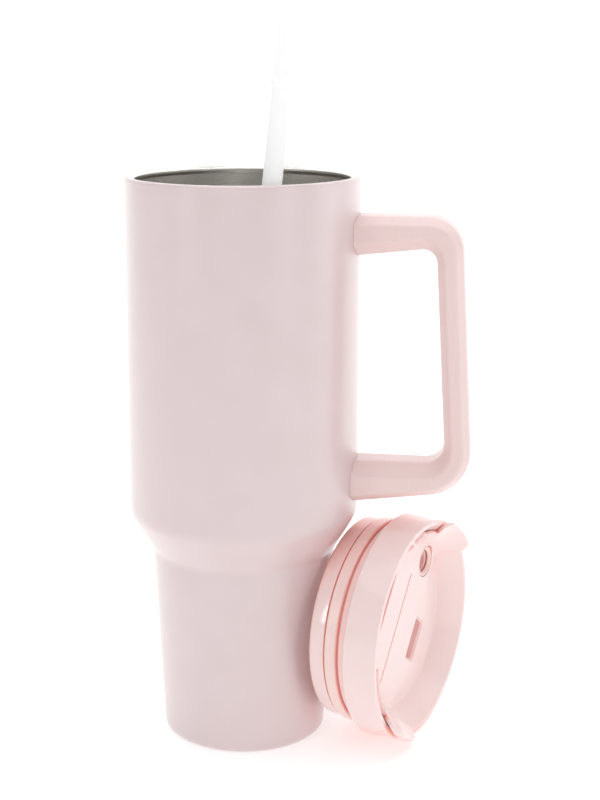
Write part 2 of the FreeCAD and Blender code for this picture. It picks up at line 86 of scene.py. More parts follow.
# Lid, in its own frame: z = 0 is the plane that sits on the cup's rim
COLLAR_RADIUS = 50.16
COLLAR_TOP_RADIUS = 49.0
COLLAR_HEIGHT = 14.7
COLLAR_LIP = 2.2
COLLAR_INSIDE_RADIUS = 43.8
COLLAR_INSIDE_HEIGHT = 9.1
BOWL_FLOOR = 4.9
BOWL_FLOOR_RADIUS = 37.0
BOWL_UNDERSIDE_RADIUS = 37.6
BOWL_THICKNESS = 2.0
PLUG_RADIUS = 45.4
PLUG_LENGTH = 18.7
PLUG_WALL = 2.8
GROOVE_RADIUS = PLUG_RADIUS - 1.2
GROOVE_LOW = -11.4
GROOVE_HIGH = -4.3
GASKET_RADIUS = 46.3
GASKET_LOW = -10.7
GASKET_HIGH = -5.2
SLOT_LENGTH = 18.0
SLOT_SHIFT = 2.2
SLOT_CORNER = 1.5
SLOT_CHAMFER = 1.0
SLOT_WELL_WALL = 1.2
SLOT_WELL_DEPTH = 0.8
SLOT_NEAR = 12.8
SLOT_FAR = 21.6
STRAW_HOLE_OFFSET = 30.4
PORT_RADIUS = 6.0
PORT_RING_BORE = 4.3
PORT_RING_FLANGE_RADIUS = 7.2
PORT_RING_HEIGHT = 3.0
HUB_RADIUS = 4.0
HUB_HOLE_RADIUS = 4.1
HUB_LOW = 2.7
HUB_HIGH = 6.0
COVER_TOP = 7.0
COVER_HOLE_RADIUS = 6.4
GROMMET_BORE = 5.0
GROMMET_LOW = 5.4
GROMMET_SEAT = 6.2
GROMMET_SEAT_RADIUS = 7.2
GROMMET_FLANGE_RADIUS = 6.9
CREASE_ENDS = (-29.0, 21.0)
CREASE_SIDES = (11.0, 11.8)
CREASE_DEPTH = 0.45
COVER_THICKNESS = 1.4
BAR_HALF_WIDTH = 8.1
COVER_WIDE_SIDE = 27.0
EAR_TOP = 19.2
EAR_CORNER = 4.5
EAR_TIP_RADIUS = 48.2
RAMP_TOP = 14.6
RAMP_LIP_RADIUS = 44.6
RAMP_WIDE_ANGLE = 51.0
NOTCH_ANGLES = (27.0, 36.0)
COVER_TURN = 55.5
LID_SEGMENTS = 192

# Straw
STRAW_RADIUS = 4.0
STRAW_BORE = 3.2
STRAW_LENGTH = 314.0
STOPPER_FROM_TOP = 29.0
STOPPER_RADIUS = 5.5
STOPPER_HALF_HEIGHT = 2.5
STOPPER_EDGE_HALF_HEIGHT = 0.7

# Studio
FLOOR_REACH = 12000.0
BACKDROP_DISTANCE = 4000.0
BACKDROP_HEIGHT = 5000.0
BACKDROP_BEND = 2000.0
CAMERA_PLACE = (0.1126, -0.6385, 0.3081)
CAMERA_AZIMUTH = 10.0
CAMERA_PITCH = -13.62
CAMERA_ROLL = -0.227


# Outlines

def rounded(corners, step=6.0, closed=True):
    """Points of an outline given as (x, y, corner radius), each corner an arc in steps of some degrees."""
    points = []
    for i, (x, y, radius) in enumerate(corners):
        corner = Vector((x, y))
        at_end = not closed and i in (0, len(corners) - 1)
        if radius <= 0 or at_end:
            points.append(corner)
            continue
        back = (Vector(corners[i - 1][:2]) - corner).normalized()
        ahead = (Vector(corners[(i + 1) % len(corners)][:2]) - corner).normalized()
        half_angle = back.angle(ahead) / 2
        reach = radius / math.tan(half_angle)
        centre = corner + (back + ahead).normalized() * radius / math.sin(half_angle)
        start = corner + back * reach - centre
        turn = math.pi - 2 * half_angle
        sign = 1 if back.x * ahead.y - back.y * ahead.x < 0 else -1
        count = max(2, math.ceil(math.degrees(turn) / step))
        for k in range(count + 1):
            angle = sign * turn * k / count
            spun = Matrix.Rotation(angle, 2) @ start
            points.append(centre + spun)
    return points


def inset_corners(corners, distances):
    """Corners of an open path moved to its left, one distance for each run between corners."""
    lines = []
    for i, distance in enumerate(distances):
        (x0, y0, _), (x1, y1, _) = corners[i], corners[i + 1]
        length = math.hypot(x1 - x0, y1 - y0)
        normal = Vector((y0 - y1, x1 - x0)) / length
        lines.append((normal, normal.dot(Vector((x0, y0))) + distance))
    moved = []
    for i, (x, y, radius) in enumerate(corners):
        if i in (0, len(corners) - 1):
            normal, offset = lines[0 if i == 0 else -1]
            moved.append((x, (offset - normal.x * x) / normal.y, radius))
            continue
        (a, c), (b, d) = lines[i - 1], lines[i]
        det = a.x * b.y - a.y * b.x
        moved.append(((c * b.y - d * a.y) / det, (a.x * d - b.x * c) / det, radius))
    return moved


# Meshes

def new_object(name, bm, place=None, smooth_angle=35.0):
    """Object from a bmesh in millimetres, put in the frame by a matrix, smooth except at sharp edges."""
    bmesh.ops.recalc_face_normals(bm, faces=bm.faces)
    mesh = bpy.data.meshes.new(name)
    bm.to_mesh(mesh)
    bm.free()
    mesh.transform(Matrix.Scale(MM, 4))
    if place is not None:
        mesh.transform(place)
    mesh.shade_smooth()
    mesh.set_sharp_from_angle(angle=math.radians(smooth_angle))
    obj = bpy.data.objects.new(name, mesh)
    bpy.context.scene.collection.objects.link(obj)
    return obj


def lathe_bmesh(outline, segments, closed=True):
    """A turned form about Z; points on the axis close to a pole."""
    bm = bmesh.new()
    rings = []
    for point in outline:
        if point.x < 1e-6:
            rings.append([bm.verts.new((0, 0, point.y))])
            continue
        ring = []
        for k in range(segments):
            angle = 2 * math.pi * k / segments
            ring.append(bm.verts.new((point.x * math.cos(angle), point.x * math.sin(angle), point.y)))
        rings.append(ring)
    pairs = list(zip(rings, rings[1:]))
    if closed and len(rings[0]) > 1 and len(rings[-1]) > 1:
        pairs.append((rings[-1], rings[0]))
    for low, high in pairs:
        for k in range(segments):
            following = (k + 1) % segments
            face = [low[k % len(low)], low[following % len(low)]]
            face += [high[following % len(high)], high[k % len(high)]]
            unique = list(dict.fromkeys(face))
            if len(unique) > 2:
                bm.faces.new(unique)
    return bm


def lathe(name, corners, segments, place=None, step=6.0):
    return new_object(name, lathe_bmesh(rounded(corners, step), segments), place)


def prism_bmesh(low_outline, high_outline, low, high):
    """Closed solid between two outlines of equal length at two heights."""
    bm = bmesh.new()
    bottom = [bm.verts.new((p.x, p.y, low)) for p in low_outline]
    top = [bm.verts.new((p.x, p.y, high)) for p in high_outline]
    count = len(bottom)
    for k in range(count):
        following = (k + 1) % count
        bm.faces.new((bottom[k], bottom[following], top[following], top[k]))
    bm.faces.new(bottom[::-1])
    bm.faces.new(top)
    return bm


def cut_with(obj, cutters):
    """Subtracts cutters from an object and keeps the result as its mesh."""
    for cutter in cutters:
        modifier = obj.modifiers.new("cut", "BOOLEAN")
        modifier.object = cutter
        modifier.operation = "DIFFERENCE"
        modifier.solver = "EXACT"
    bake_modifiers(obj)
    for cutter in cutters:
        bpy.data.objects.remove(cutter)


def add_to(obj, piece):
    """Joins a helper piece to an object as one solid."""
    union = obj.modifiers.new("union", "BOOLEAN")
    union.object = piece
    union.operation = "UNION"
    union.solver = "EXACT"
    bake_modifiers(obj)
    bpy.data.objects.remove(piece)


def bake_modifiers(obj):
    """Makes what the modifiers show the object's own mesh."""
    depsgraph = bpy.context.evaluated_depsgraph_get()
    depsgraph.update()
    baked = bpy.data.meshes.new_from_object(obj.evaluated_get(depsgraph))
    obj.modifiers.clear()
    obj.data = baked


def soften_edges(obj, width, angle=40.0, segments=3):
    """Small rounds on an object's edges, then even normals over its flat faces."""
    bevel = obj.modifiers.new("edges", "BEVEL")
    bevel.width = width * MM
    bevel.segments = segments
    bevel.limit_method = "ANGLE"
    bevel.angle_limit = math.radians(angle)
    bevel.use_clamp_overlap = True
    even_normals(obj)


def even_normals(obj):
    """Keeps large faces flat in the light, beside small rounds."""
    normals = obj.modifiers.new("normals", "WEIGHTED_NORMAL")
    normals.keep_sharp = True
    normals.weight = 60


# Materials. In a narrow gap between pink walls a deeper coral is painted into the colour as painted shade,
# standing in for the light the walls bounce to each other:
# GAP_REACH is how wide such a gap may be, in metres, and the colour set below it is the painted shade deep inside
# such a gap.

GAP_REACH = 0.016
PAINTED_GAP_SHADE = (1.0, 0.52, 0.47)


class Shader:
    """A Principled material with short helpers for its nodes."""

    def __init__(self, name, **values):
        self.material = bpy.data.materials.new(name)
        self.material.use_nodes = True
        self.nodes = self.material.node_tree.nodes
        self.links = self.material.node_tree.links
        self.principled = self.nodes["Principled BSDF"]
        for socket, value in values.items():
            self.principled.inputs[socket.replace("_", " ")].default_value = value
        self.place = self.nodes.new("ShaderNodeTexCoord").outputs["Object"]

    def noise(self, scale, detail=2.0, roughness=0.5, stretch=None):
        node = self.nodes.new("ShaderNodeTexNoise")
        node.inputs["Scale"].default_value = scale
        node.inputs["Detail"].default_value = detail
        node.inputs["Roughness"].default_value = roughness
        source = self.place
        if stretch is not None:
            mapping = self.nodes.new("ShaderNodeMapping")
            mapping.inputs["Scale"].default_value = stretch
            self.links.new(source, mapping.inputs["Vector"])
            source = mapping.outputs["Vector"]
        self.links.new(source, node.inputs["Vector"])
        return node.outputs["Fac"]

    def ramp(self, value, low, high, start=0.3, end=0.7):
        """Maps a value to a number between two limits."""
        node = self.nodes.new("ShaderNodeMapRange")
        node.inputs["From Min"].default_value = start
        node.inputs["From Max"].default_value = end
        node.inputs["To Min"].default_value = low
        node.inputs["To Max"].default_value = high
        self.links.new(value, node.inputs["Value"])
        return node.outputs["Result"]

    def mix(self, value, first, second):
        """Mixes two colours, each one either a plain colour or another node's output."""
        node = self.nodes.new("ShaderNodeMix")
        node.data_type = "RGBA"
        colour_sockets = [socket for socket in node.inputs if socket.type == "RGBA"]
        for socket, colour in zip(colour_sockets, (first, second)):
            if isinstance(colour, tuple):
                socket.default_value = (*colour, 1.0)
            else:
                self.links.new(colour, socket)
        self.links.new(value, node.inputs["Factor"])
        return next(socket for socket in node.outputs if socket.type == "RGBA")

    def bump(self, value, strength, distance):
        node = self.nodes.new("ShaderNodeBump")
        node.inputs["Strength"].default_value = strength
        node.inputs["Distance"].default_value = distance
        self.links.new(value, node.inputs["Height"])
        self.links.new(node.outputs["Normal"], self.principled.inputs["Normal"])

    def drive(self, socket, value):
        self.links.new(value, self.principled.inputs[socket])

    def openness(self, reach):
        """1 on open faces, falling towards 0 in gaps narrower than the reach."""
        node = self.nodes.new("ShaderNodeAmbientOcclusion")
        node.samples = 8
        node.inputs["Distance"].default_value = reach
        return node.outputs["AO"]

    def let_light_through(self, tint, share):
        """Mixes in a translucent part, for thin walls that glow with light from behind."""
        through = self.nodes.new("ShaderNodeBsdfTranslucent")
        self.links.new(tint, through.inputs["Color"])
        mix = self.nodes.new("ShaderNodeMixShader")
        mix.inputs["Fac"].default_value = share
        self.links.new(self.principled.outputs["BSDF"], mix.inputs[1])
        self.links.new(through.outputs["BSDF"], mix.inputs[2])
        self.links.new(mix.outputs["Shader"], self.nodes["Material Output"].inputs["Surface"])


def powder_coat():
    """Pearly pink powder coat: an even satin colour with a very fine grain."""
    shader = Shader("powder_coat", Roughness=0.38, Coat_Weight=1.0, Coat_Roughness=0.3, Coat_IOR=1.8)
    mottle = shader.ramp(shader.noise(55, 3), 0.0, 1.0)
    shader.drive("Base Color", shader.mix(mottle, (0.71, 0.57, 0.575), (0.73, 0.592, 0.598)))
    grain = shader.noise(2600, 2, 0.6)
    shader.drive("Roughness", shader.ramp(grain, 0.33, 0.43))
    shader.bump(grain, 0.18, 0.00008)
    return shader.material


def brushed_steel(name, rough):
    """Spun stainless steel, its faint fine lines running round the cup."""
    shader = Shader(name, Metallic=1.0, Roughness=rough, Anisotropic=0.55)
    lines = shader.noise(160, 3, 0.6, stretch=(1.0, 1.0, 40.0))
    shader.drive("Base Color", shader.mix(lines, (0.88, 0.855, 0.82), (0.93, 0.905, 0.87)))
    shader.drive("Roughness", shader.ramp(lines, rough - 0.02, rough + 0.04))
    tangent = shader.nodes.new("ShaderNodeTangent")
    tangent.direction_type = "RADIAL"
    tangent.axis = "Z"
    shader.links.new(tangent.outputs["Tangent"], shader.principled.inputs["Tangent"])
    grit = shader.noise(1500, 2, 0.7)
    shader.bump(grit, 0.25, 0.00006)
    return shader.material


def moulded_plastic(name, first, second, rough, scatter, painted_gap_shade=None):
    """Moulded plastic that drifts between two tints, with a deeper coral painted into its narrow gaps as painted
    shade.
    """
    shader = Shader(name, Roughness=rough, IOR=1.49, Subsurface_Weight=scatter, Subsurface_Scale=0.0015)
    shader.principled.inputs["Subsurface Radius"].default_value = (1.0, 0.45, 0.4)
    flow = shader.ramp(shader.noise(35, 3), 0.0, 1.0)
    colour = shader.mix(flow, first, second)
    if painted_gap_shade is not None:
        # Painted shade: an ambient occlusion mask blends the gap colour into the base colour where walls stand
        # close together.
        open_part = shader.ramp(shader.openness(GAP_REACH), 0.0, 1.0, 0.25, 0.95)
        colour = shader.mix(open_part, painted_gap_shade, colour)
    shader.drive("Base Color", colour)
    skin = shader.noise(2200, 2, 0.5)
    shader.drive("Roughness", shader.ramp(skin, rough * 0.85, rough * 1.25))
    shader.bump(skin, 0.1, 0.00003)
    return shader.material


def straw_plastic():
    """Frosted white plastic, its thin wall lit through from behind, with a faint painted glow."""
    # Painted light: a faint white emission makes the straw glow, though it is no lamp.
    shader = Shader("straw_plastic", Roughness=0.3, IOR=1.49, Emission_Strength=0.10)
    shader.principled.inputs["Emission Color"].default_value = (1.0, 1.0, 1.0, 1.0)
    streaks = shader.ramp(shader.noise(60, 2, stretch=(1.0, 1.0, 0.08)), 0.0, 1.0)
    tint = shader.mix(streaks, (0.975, 0.975, 0.975), (0.99, 0.99, 0.99))
    shader.drive("Base Color", tint)
    skin = shader.noise(700, 2)
    shader.drive("Roughness", shader.ramp(skin, 0.25, 0.38))
    shader.bump(skin, 0.08, 0.00005)
    shader.let_light_through(tint, 0.6)
    return shader.material


def glass_solder():
    """Dark speckled solder of the pump hole, hidden behind the base plate."""
    shader = Shader("glass_solder", Roughness=0.25, IOR=1.6)
    speck = shader.ramp(shader.noise(900, 3), 0.0, 1.0)
    shader.drive("Base Color", shader.mix(speck, (0.10, 0.10, 0.09), (0.20, 0.19, 0.17)))
    return shader.material


COAT = powder_coat()
STEEL = brushed_steel("spun_steel", 0.27)
PRESSED_STEEL = brushed_steel("pressed_steel", 0.42)
HANDLE_PLASTIC = moulded_plastic("handle_plastic", (0.82, 0.635, 0.615), (0.84, 0.66, 0.64), 0.30, 0.0)
LID_PLASTIC = moulded_plastic("lid_plastic", (0.915, 0.73, 0.71), (0.93, 0.75, 0.735), 0.08, 0.1, PAINTED_GAP_SHADE)
SILICONE = moulded_plastic("silicone", (0.94, 0.72, 0.68), (0.95, 0.74, 0.70), 0.22, 0.15, PAINTED_GAP_SHADE)
STRAW_PLASTIC = straw_plastic()
SOLDER = glass_solder()


def dress(obj, material, body, slot, *nodes):
    """Gives a new piece its material and body and hides the CAD nodes it stands for; the slot argument is not
    used.
    """
    obj.data.materials.clear()
    obj.data.materials.append(material)
    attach(obj, body)
    if nodes:
        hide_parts(*nodes)
    return obj


# Cup

def cup_shell():
    """Outer wall with its rolled rim, a closed skin of the shell's thickness."""
    w = SHELL_WALL
    corners = [
        (BASE_PLATE_RADIUS + BASE_PLATE_GAP, 0, 0.15),
        (BASE_RADIUS, 0, 3.0),
        (WAIST_RADIUS, SHOULDER_BOTTOM, 8.4),
        (CUP_RADIUS, SHOULDER_TOP, 11.5),
        (CUP_RADIUS, CUP_HEIGHT, 1.4),
        (PAINT_EDGE_RADIUS, CUP_HEIGHT, 0.1),
        (PAINT_EDGE_RADIUS, CUP_HEIGHT - w, 0),
        (CUP_RADIUS - w, CUP_HEIGHT - w, 0.8),
        (CUP_RADIUS - w, SHOULDER_TOP, 10.9),
        (WAIST_RADIUS - w, SHOULDER_BOTTOM + 0.2, 9.0),
        (BASE_RADIUS - w, w, 2.4),
        (BASE_PLATE_RADIUS + BASE_PLATE_GAP, w, 0.15),
    ]
    obj = lathe("cup_shell", corners, CUP_SEGMENTS, step=4.0)
    return dress(obj, COAT, "tumbler", "powder_coat", "outer_shell")


def base_plate():
    """Bottom plate, its middle pressed in a little."""
    corners = [
        (0, PRESSED_RING_DEPTH, 0),
        (PRESSED_RING_RADIUS - 1.0, PRESSED_RING_DEPTH, 0),
        (PRESSED_RING_RADIUS, 0, 0.8),
        (BASE_PLATE_RADIUS, 0, 0.3),
        (BASE_PLATE_RADIUS, BASE_PLATE_THICKNESS, 0.2),
        (0, BASE_PLATE_THICKNESS, 0),
    ]
    obj = lathe("bottom_plate", corners, CUP_SEGMENTS)
    return dress(obj, COAT, "tumbler", "powder_coat", "base_plate")


def cup_liner():
    """Bare steel inside: the rim's inner half, a short neck, and the wall set back under it."""
    neck = CUP_HEIGHT - NECK_HEIGHT
    step = LINER_RADIUS - MOUTH_RADIUS
    w = LINER_WALL
    inside = [
        (0, LINER_FLOOR, 0),
        (LINER_BASE_RADIUS, LINER_FLOOR, 8.0),
        (LINER_WAIST_RADIUS, SHOULDER_BOTTOM + 1.4, 8.4),
        (LINER_RADIUS, SHOULDER_TOP + 1.4, 11.5),
        (LINER_RADIUS, neck, 0.8),
        (MOUTH_RADIUS, neck + step, 0.5),
        (MOUTH_RADIUS, CUP_HEIGHT - 1.3, 0.4),
        (PAINT_EDGE_RADIUS - 1.1, CUP_HEIGHT - 0.3, 0.3),
        (PAINT_EDGE_RADIUS, CUP_HEIGHT - 0.05, 0),
    ]
    outside = [
        (PAINT_EDGE_RADIUS, CUP_HEIGHT - 0.5, 0.2),
        (MOUTH_RADIUS + w + 0.2, CUP_HEIGHT - 1.5, 0.4),
        (MOUTH_RADIUS + w, neck + step + 0.2, 0),
        (LINER_RADIUS + w, neck + 0.2, 0),
        (LINER_RADIUS + w, SHOULDER_TOP + 1.3, 12.0),
        (LINER_WAIST_RADIUS + w, SHOULDER_BOTTOM + 1.3, 7.9),
        (LINER_BASE_RADIUS + w, LINER_FLOOR - w, 8.5),
        (0, LINER_FLOOR - w, 0),
    ]
    obj = lathe("cup_liner", inside + outside, CUP_SEGMENTS, step=4.0)
    return dress(obj, STEEL, "tumbler", "steel", "inner_liner")


# Handle: a loop whose section is a flat strip with wide chamfers, swept from root to root.
# Paths are (x, z, corner radius) of the flats; the insets of the lower arm, the grip and the upper arm
# and the change of the corner radii lead from a flat to the widest line of the section.

ROOT_X = 40.0
OUTER_PATH = [(ROOT_X, 108.0, 0), (100.2, 115.8, 19.0), (93.16, 233.4, 15.0), (ROOT_X, 233.4, 0)]
OUTER_INSETS = [3.6, 3.2, 3.3]
OUTER_RADIUS_CHANGE = -3.2
INNER_PATH = [(ROOT_X, 127.7, 0), (88.5, 127.7, 8.5), (82.7, 220.3, 6.0), (ROOT_X, 215.5, 0)]
INNER_INSETS = [-5.0, -3.0, -5.0]
INNER_RADIUS_CHANGE = 3.0
ARM_STEPS = 10
GRIP_STEPS = 14
CORNER_STEPS = 18


def offset_path(path, distances, radius_change):
    """A path moved sideways, with its corner radii changed to suit."""
    moved = inset_corners(path, distances)
    return [(x, y, radius + radius_change if radius else 0) for x, y, radius in moved]


def handle_line(side, fraction):
    """Corners of one lengthwise line, 0 at the side's flat and 1 at the widest line of the section."""
    if side == "outer":
        path, insets, change = OUTER_PATH, OUTER_INSETS, OUTER_RADIUS_CHANGE
    else:
        path, insets, change = INNER_PATH, INNER_INSETS, INNER_RADIUS_CHANGE
    return offset_path(path, [fraction * inset for inset in insets], change * fraction)


def sampled_line(corners, root_x):
    """Even samples: arm, corner, grip, corner, arm, starting where the arm meets the cup."""
    arcs = []
    for i in (1, 2):
        corner = Vector(corners[i][:2])
        back = (Vector(corners[i - 1][:2]) - corner).normalized()
        ahead = (Vector(corners[i + 1][:2]) - corner).normalized()
        half_angle = back.angle(ahead) / 2
        radius = corners[i][2]
        centre = corner + (back + ahead).normalized() * radius / math.sin(half_angle)
        start = corner + back * radius / math.tan(half_angle) - centre
        turn = math.pi - 2 * half_angle
        steps = [Matrix.Rotation(turn * k / CORNER_STEPS, 2) @ start for k in range(CORNER_STEPS + 1)]
        arcs.append([centre + step for step in steps])
    first, last = Vector(corners[0][:2]), Vector(corners[3][:2])
    low_share = (root_x - first.x) / (arcs[0][0].x - first.x)
    high_share = (root_x - last.x) / (arcs[1][-1].x - last.x)
    low_root = first.lerp(arcs[0][0], low_share)
    high_root = last.lerp(arcs[1][-1], high_share)
    points = [low_root.lerp(arcs[0][0], k / ARM_STEPS) for k in range(ARM_STEPS)]
    points += arcs[0]
    points += [arcs[0][-1].lerp(arcs[1][0], k / GRIP_STEPS) for k in range(1, GRIP_STEPS)]
    points += arcs[1]
    points += [arcs[1][-1].lerp(high_root, k / ARM_STEPS) for k in range(1, ARM_STEPS + 1)]
    return points


def handle_loop():
    """The loop's closed skin, with small rounds where its flats, chamfers and sides meet."""
    half, flat = HANDLE_HALF_WIDTH, HANDLE_FLAT_HALF_WIDTH
    middle = (half + flat) / 2
    front = [("outer", 0.0, flat), ("outer", 0.5, middle), ("outer", 1.0, half)]
    front += [("inner", 1.0, half), ("inner", 0.5, middle), ("inner", 0.0, flat)]
    back = [(side, fraction, -y) for side, fraction, y in reversed(front)]
    lines = [("outer", 0.0, 0.0)] + front + [("inner", 0.0, 0.0)] + back
    bm = bmesh.new()
    crease = bm.edges.layers.float.new("bevel_weight_edge")
    columns = []
    for side, fraction, y in lines:
        root_x = math.sqrt((CUP_RADIUS + HANDLE_GAP) ** 2 - y * y)
        points = sampled_line(handle_line(side, fraction), root_x)
        columns.append([bm.verts.new((p.x, y, p.y)) for p in points])
    count = len(columns)
    for i in range(count):
        here, there = columns[i], columns[(i + 1) % count]
        for k in range(len(here) - 1):
            bm.faces.new((here[k], here[k + 1], there[k + 1], there[k]))
    for end in (0, -1):
        bm.faces.new([column[end] for column in columns])
    for i, (_, fraction, y) in enumerate(lines):
        if y == 0 or fraction == 0.5:
            continue
        for k in range(len(columns[i]) - 1):
            edge = bm.edges.get((columns[i][k], columns[i][k + 1]))
            edge[crease] = 1.0
    obj = new_object("handle_loop", bm, smooth_angle=60)
    bevel = obj.modifiers.new("edges", "BEVEL")
    bevel.width = HANDLE_EDGE_ROUND * MM
    bevel.segments = 4
    bevel.limit_method = "WEIGHT"
    even_normals(obj)
    return dress(obj, HANDLE_PLASTIC, "tumbler", "handle_plastic", "handle_shell")


def handle_strip():
    """The strip that closes the finger side, a hair proud of the handle's flat."""
    face = offset_path(INNER_PATH, [STRIP_PROUD] * 3, -STRIP_PROUD)
    back = offset_path(INNER_PATH, [-STRIP_DEPTH] * 3, STRIP_DEPTH)
    face_points = sampled_line(face, STRIP_START_X)
    back_points = sampled_line(back, STRIP_START_X)
    bm = bmesh.new()
    columns = []
    for points, y in ((face_points, 1), (back_points, 1), (back_points, -1), (face_points, -1)):
        columns.append([bm.verts.new((p.x, y * STRIP_HALF_WIDTH, p.y)) for p in points])
    for i in range(4):
        here, there = columns[i], columns[(i + 1) % 4]
        for k in range(len(here) - 1):
            bm.faces.new((here[k], here[k + 1], there[k + 1], there[k]))
    for end in (0, -1):
        bm.faces.new([column[end] for column in columns])
    obj = new_object("handle_strip", bm)
    soften_edges(obj, 0.25)
    return dress(obj, HANDLE_PLASTIC, "tumbler", "handle_plastic", "handle_inner_cover")


# Lid

def lid_placement():
    """From the lid's own frame, cover turned as at rest, to the frame: the cover's joint gives both."""
    joint = next(j for j in frame["joints"] if j["name"] == "cover_turn")
    normal = Vector(joint["axis"]).normalized()
    level = Vector((-normal.y, normal.x, 0)).normalized()
    upward = normal.cross(level)
    stand = Matrix((level, upward, normal)).transposed().to_4x4()
    seat = Vector(joint["pos_m"]) - normal * COLLAR_HEIGHT * MM
    return Matrix.Translation(seat) @ stand @ Matrix.Rotation(math.radians(COVER_TURN), 4, "Z")


LID = lid_placement()


def slot_outline(grow):
    """The drink slot's outline, grown on all sides."""
    half = SLOT_LENGTH / 2 + grow
    near, far = SLOT_NEAR - grow, SLOT_FAR + grow
    low, high = -SLOT_SHIFT - half, -SLOT_SHIFT + half
    radius = SLOT_CORNER + grow
    corners = [(low, -far, radius), (high, -far, radius), (high, -near, radius), (low, -near, radius)]
    return rounded(corners, 12)


def disc_outline(radius, x, count=64):
    turns = [2 * math.pi * k / count for k in range(count)]
    return [Vector((x + radius * math.cos(a), radius * math.sin(a))) for a in turns]


def cutter(low_outline, high_outline, low, high):
    return new_object("cutter", prism_bmesh(low_outline, high_outline, low, high))


def lid_bowl():
    """Collar, sloping bowl and floor, with the drink slot in its short well and the straw port."""
    corners = [
        (HUB_HOLE_RADIUS, BOWL_FLOOR - BOWL_THICKNESS, 0),
        (BOWL_UNDERSIDE_RADIUS, BOWL_FLOOR - BOWL_THICKNESS, 0),
        (COLLAR_INSIDE_RADIUS, COLLAR_INSIDE_HEIGHT, 0),
        (COLLAR_INSIDE_RADIUS, 0, 0.3),
        (COLLAR_RADIUS, 0, 0.7),
        (COLLAR_TOP_RADIUS, COLLAR_HEIGHT, 0.75),
        (COLLAR_TOP_RADIUS - COLLAR_LIP, COLLAR_HEIGHT, 0.75),
        (BOWL_FLOOR_RADIUS, BOWL_FLOOR, 2.0),
        (HUB_HOLE_RADIUS, BOWL_FLOOR, 0),
    ]
    obj = lathe("lid_base", corners, LID_SEGMENTS, step=5.0)
    well = slot_outline(SLOT_WELL_WALL)
    add_to(obj, new_object("well", prism_bmesh(well, well, -SLOT_WELL_DEPTH, BOWL_FLOOR - 1.0)))
    slot, wide_slot = slot_outline(0), slot_outline(SLOT_CHAMFER)
    port = disc_outline(PORT_RADIUS, STRAW_HOLE_OFFSET)
    cutters = [
        cutter(slot, slot, -SLOT_WELL_DEPTH - 1, 8),
        cutter(slot, wide_slot, BOWL_FLOOR - SLOT_CHAMFER, BOWL_FLOOR + 0.001),
        cutter(port, port, 0, 8),
    ]
    cut_with(obj, cutters)
    obj.data.transform(LID)
    obj.data.set_sharp_from_angle(angle=math.radians(30))
    return dress(obj, LID_PLASTIC, "lid", "lid_plastic", "lid_bowl")


def lid_plug():
    """Ring that goes into the mouth, with the groove for its seal band."""
    corners = [
        (PLUG_RADIUS - PLUG_WALL, -PLUG_LENGTH, 0.5),
        (PLUG_RADIUS, -PLUG_LENGTH, 1.6),
        (PLUG_RADIUS, GROOVE_LOW, 0.3),
        (GROOVE_RADIUS, GROOVE_LOW, 0),
        (GROOVE_RADIUS, GROOVE_HIGH, 0),
        (PLUG_RADIUS, GROOVE_HIGH, 0.3),
        (PLUG_RADIUS, 0, 0),
        (PLUG_RADIUS - PLUG_WALL, 0, 0),
    ]
    obj = lathe("lid_plug_ring", corners, LID_SEGMENTS, LID)
    return dress(obj, LID_PLASTIC, "lid", "lid_plastic", "lid_plug")


def lid_gasket():
    """Seal band in the plug's groove, its outer corners round."""
    corners = [
        (GROOVE_RADIUS, GASKET_LOW, 0),
        (GASKET_RADIUS, GASKET_LOW, 0.9),
        (GASKET_RADIUS, GASKET_HIGH, 0.9),
        (GROOVE_RADIUS, GASKET_HIGH, 0),
    ]
    obj = lathe("seal_band", corners, LID_SEGMENTS, LID, step=9.0)
    return dress(obj, SILICONE, "lid", "silicone", "lid_gasket")


def port_ring():
    """Soft ring in the bowl's straw port, with a flange under the floor."""
    low = BOWL_FLOOR - PORT_RING_HEIGHT
    corners = [
        (PORT_RING_BORE, low, 0.4),
        (PORT_RING_FLANGE_RADIUS, low, 0.3),
        (PORT_RING_FLANGE_RADIUS, low + 1.0, 0),
        (PORT_RADIUS, low + 1.0, 0),
        (PORT_RADIUS, BOWL_FLOOR, 0.2),
        (PORT_RING_BORE, BOWL_FLOOR, 0.5),
    ]
    place = LID @ Matrix.Translation((STRAW_HOLE_OFFSET * MM, 0, 0))
    obj = lathe("port_ring", corners, 64, place, step=15.0)
    return dress(obj, SILICONE, "lid", "silicone", "straw_port_ring")


# Rotating cover: a sheet over the plate, ramps and ears, then given its thickness.
# Its rows are (r, z) points about the lid's axis, and its sides are angles in degrees from the straw
# hole's side. The ramp rises at 45 degrees along the line r = RAMP_SHIFT + z. ROWS, COLUMNS and STEPS
# say how finely each part of the sheet is divided.

PLATE_END = 33.0
RAMP_SHIFT = 29.6
EAR_ROOT = 13.3
PLATE_FILLET = 2.5
FLARE_START = 38.3
FLARE_END = 43.6
EAR_ROOT_SIDES = (-20.0, 13.0)
EAR_TIP_SIDES = (-22.0, 15.0)
EAR_COLUMNS = 24
WIDE_COLUMNS = 10
PLATE_STEPS = 24
RAMP_ROWS = 8
WALL_ROWS = 4
EAR_ROWS = 12
EAR_SHARE = 0.4
LEAST_RISE = 0.12
FLARE_POWER = 1.6


def cover_profile():
    """(r, z) rows of the cover's top face from the plate's end up to where the ear bends off."""
    corners = [
        (PLATE_END, COVER_TOP, 0),
        (RAMP_SHIFT + COVER_TOP, COVER_TOP, PLATE_FILLET),
        (RAMP_SHIFT + EAR_ROOT, EAR_ROOT, 0),
    ]
    rows = rounded(corners, 6.0, closed=False)
    last = rows.pop()
    start = rows[-1]
    return rows + [start.lerp(last, k / RAMP_ROWS) for k in range(1, RAMP_ROWS + 1)]


